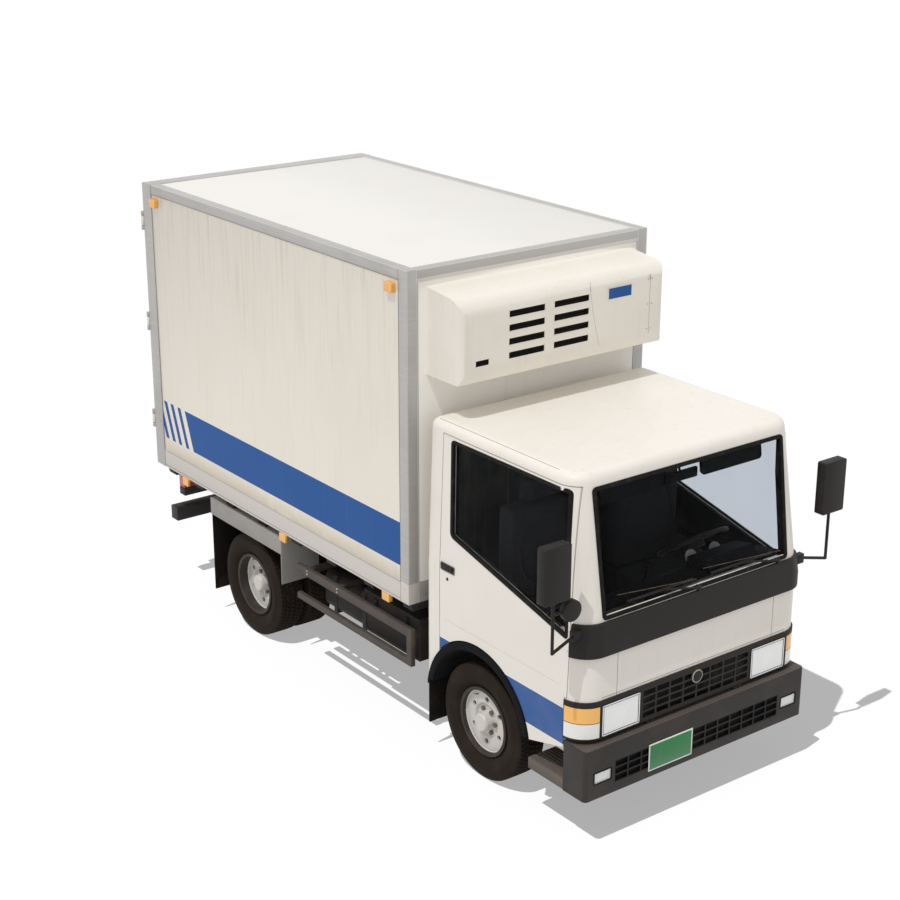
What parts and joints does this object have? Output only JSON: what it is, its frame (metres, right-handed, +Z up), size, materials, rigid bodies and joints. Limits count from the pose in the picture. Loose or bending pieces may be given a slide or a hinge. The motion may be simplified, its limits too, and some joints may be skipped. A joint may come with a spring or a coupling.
{
  "type": "small refrigerated box truck with a tilting cab",
  "caption": "Small cab-over delivery truck with an insulated box, front-mounted cooling unit, tilting cab, steered front wheels and rear doors that swing open.",
  "frame": {"origin": "on the ground under the middle of the truck's overall length and width", "axes": "+Y towards the truck's rear, +X towards its left side, +Z up"},
  "size_m": [2.248, 4.61, 2.9129],
  "materials": {
    "cab_paint": "gloss off-white enamel with dust and light rust",
    "door_paint": "gloss off-white enamel with a blue stripe",
    "box_panel": "satin off-white panel, blue stripes, dirt streaks",
    "box_frame": "dull mill-finish extrusion",
    "unit_cover": "satin off-white, dusty",
    "chassis_paint": "satin black with road dirt",
    "bumper_paint": "satin dark grey",
    "black_plastic": "grained black",
    "wheel_paint": "light grey paint with dust and rust",
    "tyre_rubber": "dusty black rubber",
    "rubber_flap": "black sheet rubber, dusty",
    "guard_metal": "grey painted steel, worn",
    "mudguard_sheet": "light grey sheet, stained",
    "engine_iron": "rough cast",
    "axle_steel": "satin black, rusty edges",
    "lamp_clear": "ribbed lens over a bright reflector",
    "lamp_amber": "amber lens",
    "lamp_red": "red lens",
    "window_glass": "dark tinted glass",
    "plate_green": "blank green plate with a pale rim",
    "seat_fabric": "dark woven cloth",
    "dash_plastic": "dark grained plastic"
  },
  "bodies": {
    "chassis": {"ladder_frame": "chassis_paint", "box_crossmembers": "guard_metal", "engine": "engine_iron", "front_axle": "axle_steel", "rear_axle": "axle_steel", "leaf_springs": "axle_steel", "fuel_tank": "chassis_paint", "tool_box": "chassis_paint", "side_guards": "guard_metal", "rear_mudguards": "mudguard_sheet", "mudflaps": "rubber_flap", "cab_steps": "chassis_paint", "cab_mounts": "chassis_paint", "rear_bumper": "guard_metal", "tail_lamps": "lamp_red", "number_plates": "plate_green", "bumper": "bumper_paint", "fog_lamps": "lamp_clear", "box_floor": "box_frame", "box_sides": "box_panel", "box_front_wall": "box_panel", "box_roof": "box_panel", "box_rear_frame": "box_frame", "cooling_unit": "unit_cover", "marker_lamps": "lamp_amber"},
    "cab": {"cab_shell": "cab_paint", "cab_floor": "black_plastic", "belt_panel": "black_plastic", "front_grille": "black_plastic", "front_lamps": "lamp_clear", "windscreen": "window_glass", "seats": "seat_fabric", "dashboard": "dash_plastic", "steering_wheel": "dash_plastic", "wipers": "black_plastic", "mirrors": "black_plastic"},
    "cab_door_right": {"cab_door_right": "door_paint", "door_glass_right": "window_glass"},
    "cab_door_left": {"cab_door_left": "door_paint", "door_glass_left": "window_glass"},
    "box_door_right": {"box_door_right": "box_panel"},
    "box_door_left": {"box_door_left": "box_panel"},
    "knuckle_right": {"knuckle_right": "axle_steel"},
    "knuckle_left": {"knuckle_left": "axle_steel"},
    "tie_rod": {"tie_rod": "axle_steel"},
    "front_wheel_right": {"front_wheel_right": "wheel_paint", "front_tyre_right": "tyre_rubber"},
    "front_wheel_left": {"front_wheel_left": "wheel_paint", "front_tyre_left": "tyre_rubber"},
    "rear_wheels_right": {"rear_wheels_right": "wheel_paint", "rear_tyres_right": "tyre_rubber"},
    "rear_wheels_left": {"rear_wheels_left": "wheel_paint", "rear_tyres_left": "tyre_rubber"}
  },
  "joints": [
    {"name": "cab_tilt", "type": "hinge", "parent": "chassis", "child": "cab", "pos_m": [0, -2.253, 0.598], "axis": [1, 0, 0], "range_deg": [0, 45]},
    {"name": "cab_door_right_swing", "type": "hinge", "parent": "cab", "child": "cab_door_right", "pos_m": [-0.845, -2.149, 1.2], "axis": [0, 0, 1], "range_deg": [0, 70]},
    {"name": "cab_door_left_swing", "type": "hinge", "parent": "cab", "child": "cab_door_left", "pos_m": [0.845, -2.149, 1.2], "axis": [0, 0, -1], "range_deg": [0, 70]},
    {"name": "box_door_right_swing", "type": "hinge", "parent": "chassis", "child": "box_door_right", "pos_m": [-0.9, 2.291, 1.9], "axis": [0, 0, 1], "range_deg": [0, 250]},
    {"name": "box_door_left_swing", "type": "hinge", "parent": "chassis", "child": "box_door_left", "pos_m": [0.9, 2.291, 1.9], "axis": [0, 0, -1], "range_deg": [0, 250]},
    {"name": "steer_right", "type": "hinge", "parent": "chassis", "child": "knuckle_right", "pos_m": [-0.61, -1.359, 0.354], "axis": [0, 0, 1], "range_deg": [-35, 35]},
    {"name": "steer_left", "type": "hinge", "parent": "chassis", "child": "knuckle_left", "pos_m": [0.61, -1.359, 0.354], "axis": [0, 0, 1], "range_deg": [-35, 35]},
    {"name": "tie_rod_swing", "type": "hinge", "parent": "knuckle_right", "child": "tie_rod", "pos_m": [-0.61, -1.241, 0.269], "axis": [0, 0, 1], "range_deg": [-35, 35]},
    {"name": "front_wheel_right_spin", "type": "hinge", "parent": "knuckle_right", "child": "front_wheel_right", "pos_m": [-0.7175, -1.359, 0.354], "axis": [1, 0, 0], "continuous": true},
    {"name": "front_wheel_left_spin", "type": "hinge", "parent": "knuckle_left", "child": "front_wheel_left", "pos_m": [0.7175, -1.359, 0.354], "axis": [1, 0, 0], "continuous": true},
    {"name": "rear_wheels_right_spin", "type": "hinge", "parent": "chassis", "child": "rear_wheels_right", "pos_m": [-0.6435, 1.091, 0.354], "axis": [1, 0, 0], "continuous": true},
    {"name": "rear_wheels_left_spin", "type": "hinge", "parent": "chassis", "child": "rear_wheels_left", "pos_m": [0.6435, 1.091, 0.354], "axis": [1, 0, 0], "continuous": true}
  ],
  "couplings": [
    {"joint": "steer_left", "follows": "steer_right", "ratio": 1},
    {"joint": "tie_rod_swing", "follows": "steer_right", "ratio": -1}
  ]
}
